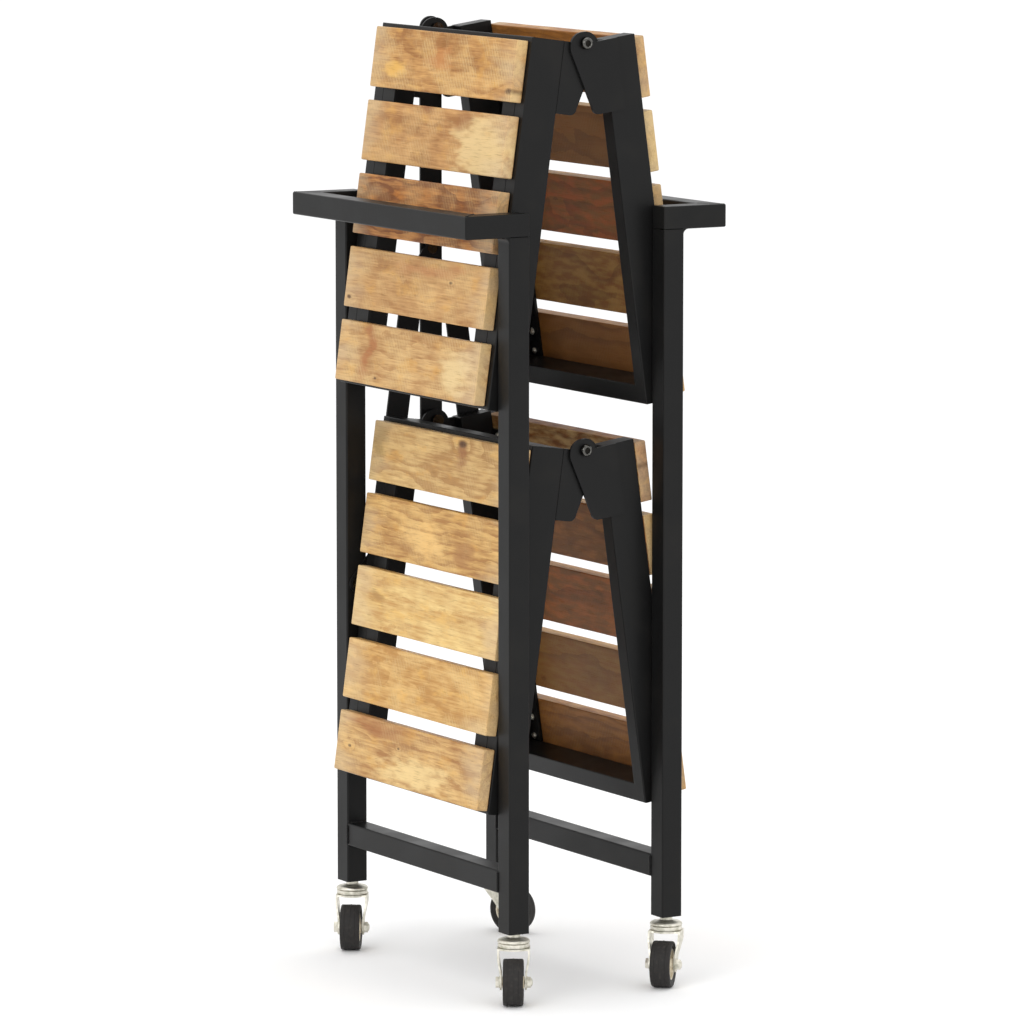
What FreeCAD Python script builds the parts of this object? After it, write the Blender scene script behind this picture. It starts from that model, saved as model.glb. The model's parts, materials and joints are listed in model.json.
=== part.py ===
import FreeCAD, Part
import math
import os

from FreeCAD import Placement, Rotation, Vector

# A two-tier slatted trolley that folds flat. Two end frames of square tube stand on
# casters. Each shelf is two half frames hinged at the middle, so the halves rise into a
# steep ridge and the end frames come together. It is modelled folded, as it is stored.
# X runs from the left end frame to the right one, Y from the front to the back, Z up.
# The origin is on the floor, under the middle of the whole trolley.

doc = FreeCAD.newDocument("folding_trolley")

# ---------------------------------------------------------------- driving dimensions
SIZES = [
    ("mid_plane", 11, "how far the frames' middle plane stands behind the origin"),
    ("frame_depth", 380, "outside depth over the legs"),
    ("leg_size", 25, "square tube of legs, cross rails and handles"),
    ("tube_wall", 1.5, "wall of every tube"),
    ("tube_round", 2, "outer corner of the square tube"),
    ("leg_bottom", 76, "underside of the legs above the floor"),
    ("handle_top", 850, "top of the handles above the floor"),
    ("handle_reach", 53.5, "handle beyond the outer face of the legs"),
    ("cross_rail_low", 118, "underside of the cross rail between two legs"),
    ("weld_round", 6, "weld fillet under the handle"),
    ("fold_travel", 82, "angle a half shelf turns between folded and open"),
    ("rail_wide", 20, "side and end rail of a half shelf, across"),
    ("rail_tall", 40, "side and end rail of a half shelf, upright when open"),
    ("rail_round", 1.4, "outer corner of the shelf rail"),
    ("rail_inset", 28.5, "outer face of a side rail inside the outer face of the legs"),
    ("half_length", 399, "half shelf from the ridge to its outer end"),
    ("pivot_reach", 379, "half shelf from the ridge to its leg pivot"),
    ("ridge_drop", 44, "ridge bolt below the middle of the rail when open"),
    ("ridge_gap", 0.5, "each half frame stops this short of the ridge plane"),
    ("lower_pivot", 221, "leg pivot of the lower shelf above the floor"),
    ("shelf_spacing", 436, "from the lower shelf to the upper one"),
    ("ledge_wide", 25, "flat strip inside a side rail that the slats are screwed to"),
    ("ledge_thick", 3, "thickness of that strip"),
    ("slat_wide", 67, "slat across its grain"),
    ("slat_thick", 15, "slat thickness"),
    ("slat_pitch", 81, "from one slat to the next"),
    ("slat_start", 5, "first slat from the ridge plane"),
    ("slat_front_inset", 1, "slat end inside the outer face of the front rail"),
    ("slat_back_inset", 8, "slat end inside the outer face of the back rail"),
    ("upper_slat_trim", 5.5, "upper slats shorter than the lower ones, at each end"),
    ("slat_round", 1.2, "eased edge of a slat"),
    ("screw_spacing", 22, "between the two screws at each end of a slat"),
    ("screw_radius", 2, "slat screw shank"),
    ("screw_bite", 10, "slat screw inside the wood"),
    ("screw_head_radius", 4, "slat screw head"),
    ("screw_head_tall", 2.4, "slat screw head height"),
    ("plate_thick", 3, "ridge hinge plate"),
    ("plate_lap", 16, "front right plate up the side of its rail"),
    ("plate_long", 78, "ridge hinge plate along its rail"),
    ("plate_low", 1, "lower corner of the ridge plate below its bolt"),
    ("plate_round", 8, "rounded lower corner of the ridge plate"),
    ("lobe_tall", 13, "lobe of the ridge plate above its bolt"),
    ("bolt_radius", 4, "ridge and pivot bolts"),
    ("running_fit", 0.08, "radial clearance of a turning joint"),
    ("open_fit", 0.3, "radial clearance where a linkage loop closes"),
    ("side_gap", 0.3, "clearance between neighbours that turn past each other"),
    ("link_wide", 27, "upright centre link and the wide part of a stay"),
    ("link_thick", 3, "thickness of the centre link"),
    ("link_face", 165, "inner face of the centre link from the middle plane"),
    ("stay_thick", 2.5, "thickness of a stay"),
    ("stay_face", 162, "inner face of a stay from the middle plane"),
    ("stay_narrow", 20, "cranked end of a stay"),
    ("stay_rise", 170, "middle of the two stay pins above the lower ridge bolt"),
    ("stay_stagger", 22, "left stay pin above that and right one below it"),
    ("stay_line", 43, "wide part of a stay from the middle, at the level below"),
    ("stay_level", 25, "that level above the lower ridge bolt"),
    ("stay_top_crank", 39, "height of the upper crank"),
    ("stay_low_crank", 35, "height of the lower crank"),
    ("sink_radius", 6.5, "recess for a stay pin's flat head"),
    ("sink_deep", 1.4, "depth of that recess"),
    ("wheel_radius", 25.5, "caster tyre"),
    ("tyre_bore", 17, "caster tyre, inside"),
    ("tyre_wide", 22, "caster tyre across"),
    ("caster_trail", 18, "axle behind the swivel axis"),
    ("axle_radius", 3, "caster axle bolt"),
    ("crown_low", 58.5, "underside of the fork crown"),
    ("fork_sheet", 2, "fork sheet thickness"),
    ("fork_wide", 35, "fork over its crown"),
    ("fork_foot", 29, "fork over its axle ends"),
    ("race_top", 65.6, "top of the turning race"),
    ("cap_low", 66, "underside of the fixed swivel cap"),
    ("cap_radius", 17.7, "fixed swivel cap"),
    ("kingpin_radius", 3.5, "pin that the fork turns on"),
]
# Way each caster trails, as an angle from +X, with the wheels as they were parked.
TRAIL = {
    "front_left": 238,
    "back_left": 236,
    "front_right": 228,
    "back_right": -70,
}

sheet = doc.addObject("Spreadsheet::Sheet", "Sizes")
for row, (alias, value, words) in enumerate(SIZES, start=1):
    sheet.set(f"A{row}", words)
    sheet.set(f"B{row}", str(value))
    sheet.setAlias(f"B{row}", alias)
doc.recompute()

S = {alias: float(sheet.get(alias)) for alias, _, _ in SIZES}
LEFT, RIGHT = -1, 1
FRONT, BACK = -1, 1
SIDES = (("left", LEFT), ("right", RIGHT))
ENDS = (("front", FRONT), ("back", BACK))
fold = math.radians(S["fold_travel"])
# Folded, a leg pivot lies this far beside and below its ridge bolt.
half_spread = S["pivot_reach"] * math.cos(fold) + S["ridge_drop"] * math.sin(fold)
ridge_height = S["pivot_reach"] * math.sin(fold) - S["ridge_drop"] * math.cos(fold)
leg_half = S["leg_size"] / 2
leg_middle = S["frame_depth"] / 2 - leg_half
leg_inner = S["frame_depth"] / 2 - S["leg_size"]
rail_face = S["frame_depth"] / 2 - S["rail_inset"]
rail_low = S["ridge_drop"] - S["rail_tall"] / 2
rail_top = S["ridge_drop"] + S["rail_tall"] / 2
TIERS = {
    "lower": S["lower_pivot"],
    "upper": S["lower_pivot"] + S["shelf_spacing"],
}
nodes = []


# ---------------------------------------------------------------- small helpers
def bind(obj, **sizes):
    """Set sizes of an object: a number, or a formula in which @name is a cell."""
    for prop, value in sizes.items():
        if isinstance(value, str):
            obj.setExpression(prop, value.replace("@", "Sizes."))
        else:
            setattr(obj, prop, value)


def box(length, width, height, place=(0, 0, 0)):
    """A box with its corner at place."""
    obj = doc.addObject("Part::Box", "Block")
    bind(obj, Length=length, Width=width, Height=height)
    obj.Placement.Base = Vector(*place)
    return obj


def rod(radius, start, end, middle=(0, 0), axis="Y"):
    """A round bar along Y (or Z) from start to end."""
    obj = doc.addObject("Part::Cylinder", "Rod")
    bind(obj, Radius=radius, Height=end - start)
    if axis == "Y":
        turn = Rotation(Vector(1, 0, 0), -90)
        obj.Placement = Placement(Vector(middle[0], start, middle[1]), turn)
    else:
        obj.Placement.Base = Vector(middle[0], middle[1], start)
    return obj


def cut(base, *tools):
    """Base less every tool."""
    for tool in tools:
        step = doc.addObject("Part::Cut", "Cut")
        step.Base, step.Tool = base, tool
        base = step
    return base


def fuse(*shapes):
    """All the shapes as one solid, with the seams between them taken out."""
    obj = doc.addObject("Part::MultiFuse", "Fuse")
    obj.Shapes = list(shapes)
    obj.Refine = True
    return obj


def ease(base, radius, wanted):
    """Round the straight edges of base whose direction and middle are wanted."""
    doc.recompute()
    picked = []
    for number, edge in enumerate(base.Shape.Edges, start=1):
        if edge.Curve.TypeId == "Part::GeomLine":
            way = edge.tangentAt(edge.FirstParameter)
            if wanted(way, edge.CenterOfMass):
                picked.append((number, radius, radius))
    obj = doc.addObject("Part::Fillet", "Eased")
    obj.Base = base
    obj.Edges = picked
    return obj


def along(axis):
    """Picks edges that run along one axis."""
    return lambda way, middle: abs(way.dot(axis)) > 0.99


def sketch_of(body, edges):
    """A sketch of ready-made edges on the body's XY plane."""
    sketch = body.newObject("Sketcher::SketchObject", "Outline")
    plane = [f for f in body.Origin.OriginFeatures if f.Role == "XY_Plane"]
    sketch.AttachmentSupport = (plane[0], [""])
    sketch.MapMode = "FlatFace"
    for edge in edges:
        sketch.addGeometry(edge, False)
    return sketch


def closed_path(points):
    """Straight edges round the points, back to the first."""
    spots = [Vector(x, y, 0) for x, y in points]
    return [Part.LineSegment(a, b) for a, b in zip(spots, spots[1:] + spots[:1])]


def plate(edges, thickness):
    """A flat plate cut to an outline in X and Z, from Y = 0 towards -Y."""
    body = doc.addObject("PartDesign::Body", "Plate")
    pad = body.newObject("PartDesign::Pad", "Pad")
    pad.Profile = sketch_of(body, edges)
    bind(pad, Length=thickness)
    body.Placement.Rotation = Rotation(Vector(1, 0, 0), 90)
    return body


def turned(points, upright=False):
    """A turned piece: points are radius and height, round Y, or round Z if upright."""
    body = doc.addObject("PartDesign::Body", "Turned")
    sketch = sketch_of(body, closed_path(points))
    spin = body.newObject("PartDesign::Revolution", "Revolution")
    spin.Profile = sketch
    spin.ReferenceAxis = (sketch, ["V_Axis"])
    spin.Angle = 360
    if upright:
        body.Placement.Rotation = Rotation(Vector(1, 0, 0), 90)
    return body


def moved(shape, x=0, y=0, z=0):
    """A copy of a shape, shifted."""
    copy = shape.copy()
    copy.Placement = Placement(Vector(x, y, z), Rotation()) * copy.Placement
    return copy


def mirrored(shape):
    """A copy of a shape on the other side of the middle plane, front for back."""
    return shape.mirror(Vector(0, 0, 0), Vector(0, 1, 0))


def keep(obj, label, place=None):
    """Name a finished sub-part and put it in its place."""
    obj.Label = label
    shift = Placement(Vector(0, S["mid_plane"], 0), Rotation())
    obj.Placement = shift * (place or Placement()) * obj.Placement
    nodes.append(obj)
    return obj


def keep_shapes(shapes, label, place=None):
    """Several separate solids as one sub-part."""
    obj = doc.addObject("Part::Feature", "Group")
    obj.Shape = Part.makeCompound(shapes)
    return keep(obj, label, place)


def half_place(side, tier):
    """Where a half shelf lies folded, from its open place about the ridge bolt."""
    height = TIERS[tier] + ridge_height
    return Placement(Vector(0, 0, height), Rotation(Vector(0, 1, 0), side * S["fold_travel"]))


def span(start, end):
    """The lower end and the length of a stretch given either way round."""
    return min(start, end), abs(end - start)


# ---------------------------------------------------------------- end frames
def leg(side, end, pins):
    """One leg of square tube, drilled in its inner wall for the pivots at pins."""
    size, tall = "@leg_size", "@handle_top - @leg_size - @leg_bottom"
    hollow = "@leg_size - 2 * @tube_wall"
    x, y = side * half_spread, end * leg_middle
    outer = box(size, size, tall, (x - leg_half, y - leg_half, S["leg_bottom"]))
    rounded = ease(outer, S["tube_round"], along(Vector(0, 0, 1)))
    bore = leg_half - S["tube_wall"]
    inside = box(hollow, hollow, tall, (x - bore, y - bore, S["leg_bottom"]))
    low = span(end * (leg_inner - 1), end * (leg_inner + S["tube_wall"] + 1))[0]
    drills = [rod("@bolt_radius", low, low + S["tube_wall"] + 2, (x, z)) for z in pins]
    return cut(rounded, inside, *drills)


def stay_pin_level(side):
    """Height of a stay's pin on the centre link, folded."""
    return TIERS["lower"] + ridge_height + S["stay_rise"] - side * S["stay_stagger"]


def legs(name, side):
    """The two legs of one end frame."""
    shelf_pins = list(TIERS.values())
    stay_foot = stay_pin_level(side) - ridge_height
    pair = doc.addObject("Part::Compound", "Legs")
    pair.Links = [leg(side, FRONT, shelf_pins), leg(side, BACK, shelf_pins + [stay_foot])]
    keep(pair, f"{name}_legs")


def cross_rail(name, side):
    """Square tube between two legs near the floor."""
    size, length = "@leg_size", "@frame_depth - 2 * @leg_size"
    hollow = "@leg_size - 2 * @tube_wall"
    x, z = side * half_spread - leg_half, S["cross_rail_low"]
    outer = box(size, length, size, (x, -leg_inner, z))
    rounded = ease(outer, S["tube_round"], along(Vector(0, 1, 0)))
    wall = S["tube_wall"]
    inside = box(hollow, length, hollow, (x + wall, -leg_inner, z + wall))
    keep(cut(rounded, inside), f"{name}_cross_rail")


def handle(name, side):
    """Square tube bent out from the tops of two legs and across between them."""
    size, wall, tall = S["leg_size"], S["tube_wall"], S["handle_top"]
    near = side * (half_spread - leg_half)
    far = side * (half_spread + leg_half + S["handle_reach"])
    low, long = span(near, far)
    z = tall - size
    outer = box("@leg_size + @handle_reach", "@frame_depth", "@leg_size",
                (low, -S["frame_depth"] / 2, z))
    grip_low, grip_long = span(near, far - side * size)
    gap = box(grip_long, "@frame_depth - 2 * @leg_size", "@leg_size", (grip_low, -leg_inner, z))
    bent = ease(cut(outer, gap), S["tube_round"], lambda way, middle: True)
    bore = size - 2 * wall
    bar = box("@leg_size - 2 * @tube_wall", "@frame_depth - 2 * @tube_wall",
              "@leg_size - 2 * @tube_wall")
    bar.Placement.Base = Vector(
        span(far - side * wall, far - side * (size - wall))[0],
        -S["frame_depth"] / 2 + wall, z + wall)
    hollows = [bar]
    for _, end in ENDS:
        y = end * leg_middle
        arm = box(long - 2 * wall, "@leg_size - 2 * @tube_wall", "@leg_size - 2 * @tube_wall",
                  (low + wall, y - bore / 2, z + wall))
        drain = rod("@tube_wall * 4", z - 1, z + wall + 1, (side * half_spread, y), "Z")
        hollows += [arm, drain]
    tube = cut(bent, *hollows)
    welds = []
    reach = S["weld_round"]
    for _, end in ENDS:
        face = side * (half_spread + leg_half)
        x = span(face, face + side * reach)[0]
        y = end * leg_middle - bore / 2
        block = box("@weld_round", "@leg_size - 2 * @tube_wall", "@weld_round", (x, y, z - reach))
        scoop = rod("@weld_round", y - 1, y + bore + 1, (face + side * reach, z - reach))
        welds.append(cut(block, scoop))
    keep(fuse(tube, *welds), f"{name}_handle")


# ---------------------------------------------------------------- half shelves
def ridge_plate(side, outer_face, lap, hole):
    """Hinge plate under the ridge end of a side rail, with its outer face in Y."""
    # The lobe round the bolt hangs a little low, so it blends into the sloping edge.
    lobe_points = ((7.4, -18.5), (-12.5, -3), (0, S["lobe_tall"]))
    lobe = [Vector(side * x, z, 0) for x, z in lobe_points]
    long, low, bend = S["plate_long"], -S["plate_low"], S["plate_round"]
    diagonal = bend * (1 - math.sqrt(0.5))
    toe = Vector(side * (long - bend), low, 0)
    knuckle = Vector(side * (long - diagonal), low + diagonal, 0)
    heel = Vector(side * long, low + bend, 0)
    top = rail_low + lap
    near_low = Vector(side * S["ridge_gap"], S["lobe_tall"], 0)
    near_top = Vector(side * S["ridge_gap"], top, 0)
    far_top = Vector(side * long, top, 0)
    edges = [
        Part.Arc(*lobe),
        Part.LineSegment(lobe[2], near_low),
        Part.LineSegment(near_low, near_top),
        Part.LineSegment(near_top, far_top),
        Part.LineSegment(far_top, heel),
        Part.Arc(heel, knuckle, toe),
        Part.LineSegment(toe, lobe[0]),
    ]
    made = plate(edges, "@plate_thick")
    made.Placement.Base.y = outer_face
    inner = outer_face - S["plate_thick"]
    return cut(made, rod(hole, inner - 1, outer_face + 1))


def shelf_frame(name, side, tier):
    """Welded half frame of tube with two ledge strips and two ridge plates.

    The left one is a closed ring. The right one has no rail at the ridge.
    """
    long, gap, wall = S["half_length"], S["ridge_gap"], S["tube_wall"]
    wide = S["rail_wide"]
    tall = "@rail_tall"
    low = span(side * gap, side * long)[0]
    ring_outer = box("@half_length - @ridge_gap", "@frame_depth - 2 * @rail_inset", tall,
                     (low, -rail_face, rail_low))
    rails = 2 if side == LEFT else 1
    ring_inner = box(f"@half_length - @ridge_gap - {rails} * @rail_wide",
                     "@frame_depth - 2 * @rail_inset - 2 * @rail_wide", tall,
                     (low + (rails - 1) * wide, -rail_face + wide, rail_low))
    flat = ease(cut(ring_outer, ring_inner), S["rail_round"],
                lambda way, middle: abs(way.z) < 0.01)
    bore, deep = "@rail_wide - 2 * @tube_wall", "@rail_tall - 2 * @tube_wall"
    hollows = []
    for start in (low + wall, low + (long - gap) - wide + wall)[2 - rails:]:
        hollows.append(box(bore, "@frame_depth - 2 * @rail_inset - 4 * @tube_wall", deep,
                           (start, -rail_face + 2 * wall, rail_low + wall)))
    for _, end in ENDS:
        y = span(end * (rail_face - wall), end * (rail_face - wide + wall))[0]
        hollows.append(box("@half_length - @ridge_gap - 2 * @tube_wall", bore, deep,
                           (low + wall, y, rail_low + wall)))
    is_open = side == RIGHT and tier == "lower"
    fit = "@bolt_radius + @open_fit" if is_open else "@bolt_radius + @running_fit"
    pivot = (side * S["pivot_reach"], S["ridge_drop"])
    drills = []
    for _, end in ENDS:
        y = span(end * (rail_face + 1), end * (rail_face - wall - 1))[0]
        drills.append(rod(fit, y, y + wall + 2, pivot))
    ring = cut(flat, *hollows, *drills)
    ledges = []
    for _, end in ENDS:
        y = span(end * (rail_face - wide), end * (rail_face - wide - S["ledge_wide"]))[0]
        strip = box("@half_length - @ridge_gap - 2 * @rail_wide", "@ledge_wide", "@ledge_thick",
                    (low + wide, y, rail_top - S["ledge_thick"]))
        holes = [rod("@screw_radius", rail_top - S["ledge_thick"] - 1, rail_top + 1, spot, "Z")
                 for spot in screw_spots(side, end)]
        ledges.append(cut(strip, *holes))
    gap_y, sheet_y = S["side_gap"], S["plate_thick"]
    turning = "@bolt_radius + @running_fit"
    if side == LEFT:
        front = ridge_plate(side, -(rail_face - gap_y - sheet_y), 0, "@bolt_radius")
        back = ridge_plate(side, rail_face - gap_y, 0, "@bolt_radius")
    else:
        front = ridge_plate(side, -rail_face, S["plate_lap"], turning)
        back = ridge_plate(side, rail_face - 2 * gap_y - sheet_y, 0, turning)
    keep(fuse(ring, *ledges, front, back), f"{name}_frame", half_place(side, tier))


def slat_span(number):
    """Nearer and further edge of a slat from the ridge plane."""
    start = S["slat_start"] + (number - 1) * S["slat_pitch"]
    return start, start + S["slat_wide"]


def screw_spots(side, end):
    """Where the screws of all five slats pass the ledge at one end."""
    y = end * (rail_face - S["rail_wide"] - S["ledge_wide"] / 2)
    spots = []
    for number in range(1, 6):
        middle = sum(slat_span(number)) / 2
        for shift in (-S["screw_spacing"] / 2, S["screw_spacing"] / 2):
            spots.append((side * (middle + shift), y))
    return spots


def slats(name, side, tier):
    """Five wooden slats across the frame."""
    for number in range(1, 6):
        near, far = slat_span(number)
        low = span(side * near, side * far)[0]
        trim = S["upper_slat_trim"] if tier == "upper" else 0
        length = "@frame_depth - 2 * @rail_inset - @slat_front_inset - @slat_back_inset"
        board = box("@slat_wide", f"{length} - {2 * trim}", "@slat_thick",
                    (low, -rail_face + S["slat_front_inset"] + trim, rail_top))
        eased = ease(board, S["slat_round"], lambda way, middle: True)
        holes = []
        for _, end in ENDS:
            for x, y in screw_spots(side, end)[2 * number - 2:2 * number]:
                holes.append(rod("@screw_radius", rail_top - 1, rail_top + S["screw_bite"],
                                 (x, y), "Z"))
        keep(cut(eased, *holes), f"{name}_slat_{number}", half_place(side, tier))


def slat_screws(name, side, tier):
    """Pan-head screws up through the ledges into the slats."""
    shank, head = S["screw_radius"], S["screw_head_radius"]
    base = rail_top - S["ledge_thick"]
    top = rail_top + S["screw_bite"]
    low = base - S["screw_head_tall"]
    screw = turned([(0, low), (head * 0.6, low), (head, base - 0.8), (head, base),
                    (shank, base), (shank, top), (0, top)], upright=True)
    doc.recompute()
    spots = screw_spots(side, FRONT) + screw_spots(side, BACK)
    keep_shapes([moved(screw.Shape, x, y) for x, y in spots],
                f"{name}_slat_screws", half_place(side, tier))


# ---------------------------------------------------------------- ridge and leg pivots
def ridge_bolts(tier):
    """Front and back ridge bolts of one shelf; the back one also carries the link."""
    shank, head, nut = S["bolt_radius"], 6.0, 7.0
    gap, sheet_y = S["side_gap"], S["plate_thick"]
    nut_tall, head_tall, dome = 5.0, 3.4, 1.6
    left_inner = rail_face - gap - sheet_y
    right_outer = rail_face + sheet_y
    front = turned([
        (0, left_inner - nut_tall), (nut, left_inner - nut_tall), (nut, left_inner),
        (shank, left_inner), (shank, right_outer + gap), (head, right_outer + gap),
        (head, right_outer + gap + head_tall), (head * 0.7, right_outer + gap + head_tall + dome),
        (0, right_outer + gap + head_tall + dome)])
    nut_face = left_inner - 2 * gap - sheet_y
    link_back = S["link_face"] + S["link_thick"]
    spacer = 8.0
    back = turned([
        (0, nut_face - nut_tall), (nut, nut_face - nut_tall), (nut, nut_face),
        (shank, nut_face), (shank, rail_face - gap), (spacer, rail_face - gap),
        (spacer, S["link_face"] - gap), (shank, S["link_face"] - gap),
        (shank, link_back + gap), (head, link_back + gap), (head, link_back + gap + head_tall),
        (head * 0.7, link_back + gap + head_tall + dome), (0, link_back + gap + head_tall + dome)])
    doc.recompute()
    place = Placement(Vector(0, 0, TIERS[tier] + ridge_height), Rotation())
    keep_shapes([mirrored(front.Shape), back.Shape], f"{tier}_ridge_bolts", place)


def pivot_bolts(name, side):
    """Bolts from inside the side rails into the legs, and the stay's pin on its leg."""
    shank, head, collar = S["bolt_radius"], 7.0, 7.0
    gap, wall = S["side_gap"], S["tube_wall"]
    head_tall, nut_tall = 3.5, 5.0
    head_top = rail_face - wall - gap
    inside_leg = leg_inner + wall
    bolt = turned([
        (0, head_top - head_tall), (head, head_top - head_tall), (head, head_top),
        (shank, head_top), (shank, rail_face + gap), (collar, rail_face + gap),
        (collar, leg_inner), (shank, leg_inner), (shank, inside_leg), (head, inside_leg),
        (head, inside_leg + nut_tall), (0, inside_leg + nut_tall)])
    doc.recompute()
    x = side * half_spread
    shapes = []
    for z in TIERS.values():
        shapes.append(moved(bolt.Shape, x, 0, z))
        shapes.append(moved(mirrored(bolt.Shape), x, 0, z))
    pin = stay_pin([(shank, leg_inner), (shank, inside_leg), (head, inside_leg),
                    (head, inside_leg + nut_tall), (0, inside_leg + nut_tall)])
    shapes.append(moved(pin, x, 0, stay_pin_level(side) - ridge_height))
    keep_shapes(shapes, f"{name}_pivot_bolts")


# ---------------------------------------------------------------- centre link and stays
def stay_pin(outer_end):
    """A pin whose flat head lies sunk in the inner face of a stay."""
    shank, gap = S["bolt_radius"], S["side_gap"]
    face = S["stay_face"]
    head, seat = S["sink_radius"] - gap, face + S["sink_deep"] - gap
    pin = turned([(0, face), (head, face), (head, seat), (shank, seat)] + outer_end)
    doc.recompute()
    return pin.Shape


def centre_link():
    """Upright flat bar between the two back ridge bolts."""
    low = TIERS["lower"] + ridge_height
    high = TIERS["upper"] + ridge_height
    half = S["link_wide"] / 2
    edges = [
        Part.Arc(Vector(half, high, 0), Vector(0, high + half, 0), Vector(-half, high, 0)),
        Part.LineSegment(Vector(-half, high, 0), Vector(-half, low, 0)),
        Part.Arc(Vector(-half, low, 0), Vector(0, low - half, 0), Vector(half, low, 0)),
        Part.LineSegment(Vector(half, low, 0), Vector(half, high, 0)),
    ]
    bar = plate(edges, "@link_thick")
    bar.Placement.Base.y = S["link_face"] + S["link_thick"]
    reach = (S["link_face"] - 1, S["link_face"] + S["link_thick"] + 1)
    holes = [rod("@bolt_radius + @open_fit", *reach, (0, low)),
             rod("@bolt_radius + @running_fit", *reach, (0, high))]
    for _, side in SIDES:
        holes.append(rod("@bolt_radius", *reach, (0, stay_pin_level(side))))
    keep(cut(bar, *holes), "centre_link")


def link_pins():
    """The two pins that hold the stays on the centre link."""
    shank, nut, nut_tall = S["bolt_radius"], 7.0, 4.5
    back = S["link_face"] + S["link_thick"]
    pin = stay_pin([(shank, back), (nut, back), (nut, back + nut_tall), (0, back + nut_tall)])
    keep_shapes([moved(pin, 0, 0, stay_pin_level(side)) for _, side in SIDES], "link_pins")


def bar_between(start, end, wide, radius):
    """A straight bar with round ends between two points in X and Z."""
    way = Vector(end[0] - start[0], 0, end[1] - start[1])
    length = way.Length
    face, thick = S["stay_face"], S["stay_thick"]
    strip = box(length, "@stay_thick", wide)
    tilt = Rotation(Vector(1, 0, 0), way)
    lift = tilt.multVec(Vector(0, 0, -radius))
    strip.Placement = Placement(Vector(start[0], face, start[1]) + lift, tilt)
    ends = [rod(wide + " / 2", face, face + thick, spot) for spot in (start, end)]
    return [strip] + ends


def stay(name, side):
    """Cranked flat bar from a back leg to the centre link."""
    top = (0, stay_pin_level(side))
    foot = (side * half_spread, top[1] - ridge_height)
    lean = math.tan(math.pi / 2 - fold)
    level = TIERS["lower"] + ridge_height + S["stay_level"]

    def on_line(z):
        return side * (S["stay_line"] - (z - level) * lean), z

    upper_knee = on_line(top[1] - S["stay_top_crank"])
    lower_knee = on_line(foot[1] + S["stay_low_crank"])
    wide, narrow = S["link_wide"] / 2, S["stay_narrow"] / 2
    pieces = bar_between(top, upper_knee, "@stay_narrow", narrow)
    pieces += bar_between(upper_knee, lower_knee, "@link_wide", wide)
    pieces += bar_between(lower_knee, foot, "@stay_narrow", narrow)
    face, thick = S["stay_face"], S["stay_thick"]
    holes = [rod("@bolt_radius + @open_fit", face - 1, face + thick + 1, top),
             rod("@bolt_radius + @running_fit", face - 1, face + thick + 1, foot)]
    for spot in (top, foot):
        holes.append(rod("@sink_radius", face - 1, face + S["sink_deep"], spot))
    keep(cut(fuse(*pieces), *holes), f"{name}_stay")


# ---------------------------------------------------------------- casters
def caster_place(side_name, end_name):
    """A caster's swivel axis on the floor, turned the way it trails."""
    side, end = dict(SIDES)[side_name], dict(ENDS)[end_name]
    angle = TRAIL[f"{end_name}_{side_name}"]
    spot = Vector(side * half_spread, end * leg_middle, 0)
    return Placement(spot, Rotation(Vector(0, 0, 1), angle))


def caster_stems(name, side):
    """Stem, fixed swivel cap and kingpin in one, and the plug in the foot of the leg."""
    king, neck, thread = S["kingpin_radius"], 6.8, 5.0
    foot, cap = S["leg_bottom"], S["cap_low"]
    rivet_top = S["crown_low"] - S["side_gap"]
    plug_tall, stem_tall = 20.0, 24.0
    stem = turned([
        (0, rivet_top - 1.6), (king + 1.2, rivet_top - 1.6), (king + 2, rivet_top), (king, rivet_top),
        (king, cap), (S["cap_radius"], cap), (S["cap_radius"], cap + 1.3), (neck + 1, cap + 4.6),
        (neck, foot), (thread, foot), (thread, foot + stem_tall), (0, foot + stem_tall)],
        upright=True)
    bore = "@leg_size - 2 * @tube_wall"
    bore_half = leg_half - S["tube_wall"]
    block = box(bore, bore, plug_tall, (-bore_half, -bore_half, foot))
    hole = rod(thread, foot - 1, foot + plug_tall + 1, (0, 0), "Z")
    plug = cut(block, hole)
    doc.recompute()
    shapes = []
    for _, end in ENDS:
        for solid in (stem.Shape, plug.Shape):
            shapes.append(moved(solid, side * half_spread, end * leg_middle))
    keep_shapes(shapes, f"{name}_caster_stems")


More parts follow.
